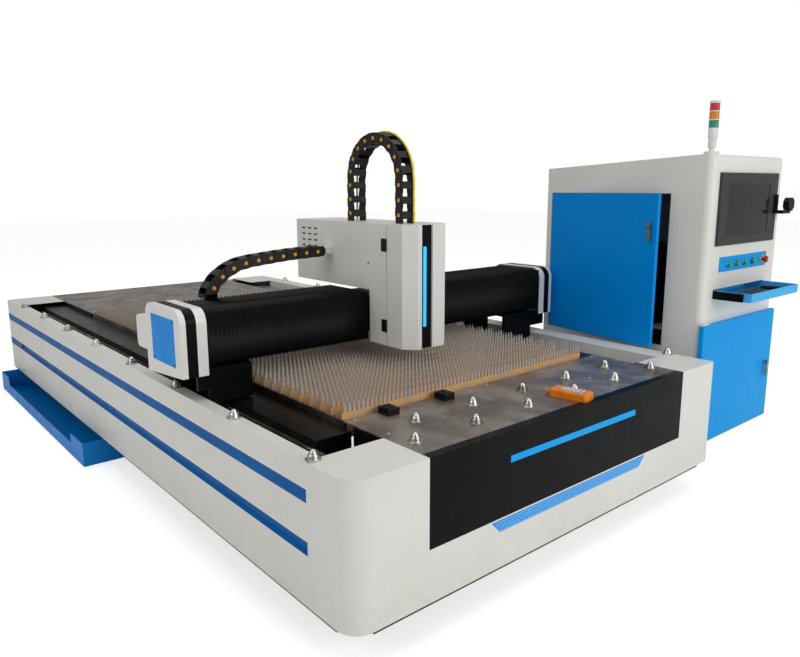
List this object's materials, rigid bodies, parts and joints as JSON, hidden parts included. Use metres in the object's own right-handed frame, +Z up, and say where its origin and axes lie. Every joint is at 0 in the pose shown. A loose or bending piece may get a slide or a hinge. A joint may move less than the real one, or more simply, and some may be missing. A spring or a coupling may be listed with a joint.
{
  "type": "fiber laser cutting machine",
  "caption": "Flat-bed fibre laser cutter: toothed support bed, gantry with bellows and head cover that travels along it, slag drawer, and an operator cabinet with screen and signal tower.",
  "frame": {"origin": "on the floor, under the middle of the whole machine's outline", "axes": "+X across the bed towards the cabinet, +Y along the bed away from the operator's end, +Z up"},
  "size_m": [3.386, 4.677, 2.0471],
  "materials": {
    "white_paint": "satin",
    "stripe_blue": "satin",
    "door_blue": "gloss",
    "front_door_blue": "gloss",
    "black_paint": "satin",
    "cyan_trim": "gloss",
    "vent_blue": "satin",
    "deck_sheet": "dull, scratched",
    "frame_paint": "matt",
    "bare_steel": "machined",
    "slat_steel": "bare, partly rusty",
    "ball_steel": "polished",
    "bellows_black": "coated fabric",
    "chain_black": "moulded",
    "black_plastic": "moulded",
    "bezel_grey": "moulded",
    "screen_glass": "gloss",
    "light_blue": "lit",
    "orange_plastic": "moulded",
    "button_green": "gloss",
    "button_red": "gloss",
    "lens_red": "ribbed lens",
    "lens_amber": "ribbed lens",
    "lens_green": "ribbed lens",
    "handle_black": "moulded"
  },
  "bodies": {
    "machine": {"side_beams": "frame_paint", "cross_members": "frame_paint", "levelling_feet": "bare_steel", "side_panels": "white_paint", "side_stripes": "stripe_blue", "front_corner_covers": "white_paint", "rear_covers": "white_paint", "front_fascia": "black_paint", "fascia_stripe": "cyan_trim", "vent_strip": "vent_blue", "lower_front_panel": "white_paint", "deck_plates": "deck_sheet", "ball_housings": "bare_steel", "transfer_balls": "ball_steel", "edge_blocks": "black_plastic", "slat_combs": "bare_steel", "support_slats": "slat_steel", "guide_rails": "bare_steel", "cabinet_body": "white_paint", "laser_source": "frame_paint", "monitor_bezel": "bezel_grey", "monitor_screen": "screen_glass", "button_panel": "stripe_blue", "tower_stem": "white_paint", "tower_green": "lens_green", "tower_amber": "lens_amber", "tower_red": "lens_red", "camera_holder": "black_plastic", "tray_rails": "handle_black", "remote_control": "orange_plastic"},
    "gantry": {"cross_beam": "frame_paint", "carriage_plates": "black_paint", "end_covers": "white_paint", "end_bands": "black_paint", "end_panels": "stripe_blue", "drive_motors": "white_paint", "bellows_left": "bellows_black", "bellows_right": "bellows_black", "cross_chain": "chain_black"},
    "carriage": {"head_cover": "white_paint", "cover_hinges": "handle_black", "head_carriage": "bare_steel", "lift_chain": "chain_black"},
    "head_front": {"head_door": "white_paint", "head_trim": "black_paint", "light_strip": "light_blue"},
    "head": {"cutting_head": "bare_steel"},
    "slag_tray": {"slag_drawer": "stripe_blue"},
    "cabinet_side_door": {"side_door": "door_blue"},
    "side_lock": {"side_door_lock": "handle_black"},
    "cabinet_front_door": {"front_door": "front_door_blue"},
    "front_handle": {"front_door_handle": "handle_black"},
    "tray": {"keyboard_tray": "door_blue", "keyboard": "black_plastic", "mouse": "black_plastic"},
    "button_1": {"push_button_1": "button_green"},
    "button_2": {"push_button_2": "button_green"},
    "button_3": {"push_button_3": "button_green"},
    "button_4": {"push_button_4": "button_green"},
    "stop_button": {"e_stop": "button_red"}
  },
  "joints": [
    {"name": "gantry_travel", "type": "slide", "parent": "machine", "child": "gantry", "axis": [0, 1, 0], "range_m": [-0.335, 2.6]},
    {"name": "cross_travel", "type": "slide", "parent": "gantry", "child": "carriage", "axis": [1, 0, 0], "range_m": [-0.56, 0.68], "deforming": ["bellows_left", "bellows_right", "cross_chain"]},
    {"name": "head_front_swing", "type": "hinge", "parent": "carriage", "child": "head_front", "pos_m": [-0.667, -1.3305, 1.1], "axis": [0, 0, 1], "range_deg": [-95, 0]},
    {"name": "head_lift", "type": "slide", "parent": "carriage", "child": "head", "axis": [0, 0, 1], "range_m": [-0.055, 0.06], "deforming": ["lift_chain"]},
    {"name": "slag_tray_pull", "type": "slide", "parent": "machine", "child": "slag_tray", "axis": [-1, 0, 0], "range_m": [-0.08, 0.6]},
    {"name": "side_door_swing", "type": "hinge", "parent": "machine", "child": "cabinet_side_door", "pos_m": [0.837, -1.1465, 1.107], "axis": [0, 0, -1], "range_deg": [-8, 28]},
    {"name": "side_lock_turn", "type": "hinge", "parent": "cabinet_side_door", "child": "side_lock", "pos_m": [0.7272, -1.87026, 1.355], "axis": [-0.9903, 0.1392, 0], "range_deg": [0, 90]},
    {"name": "front_door_swing", "type": "hinge", "parent": "machine", "child": "cabinet_front_door", "pos_m": [0.817, -2.1535, 0.488], "axis": [0, 0, 1], "range_deg": [-95, 0]},
    {"name": "front_handle_turn", "type": "hinge", "parent": "cabinet_front_door", "child": "front_handle", "pos_m": [1.597, -2.1785, 0.516], "axis": [0, 1, 0], "range_deg": [0, 90]},
    {"name": "keyboard_tray_slide", "type": "slide", "parent": "machine", "child": "tray", "axis": [0, 1, 0], "range_m": [0, 0.18]},
    {"name": "button_1_press", "type": "slide", "parent": "machine", "child": "button_1", "axis": [0, 1, 0], "range_m": [0, 0.003], "stiffness_N_per_m": 400},
    {"name": "button_2_press", "type": "slide", "parent": "machine", "child": "button_2", "axis": [0, 1, 0], "range_m": [0, 0.003], "stiffness_N_per_m": 400},
    {"name": "button_3_press", "type": "slide", "parent": "machine", "child": "button_3", "axis": [0, 1, 0], "range_m": [0, 0.003], "stiffness_N_per_m": 400},
    {"name": "button_4_press", "type": "slide", "parent": "machine", "child": "button_4", "axis": [0, 1, 0], "range_m": [0, 0.003], "stiffness_N_per_m": 400},
    {"name": "stop_press", "type": "slide", "parent": "machine", "child": "stop_button", "axis": [0, 1, 0], "range_m": [0, 0.003], "stiffness_N_per_m": 400}
  ]
}
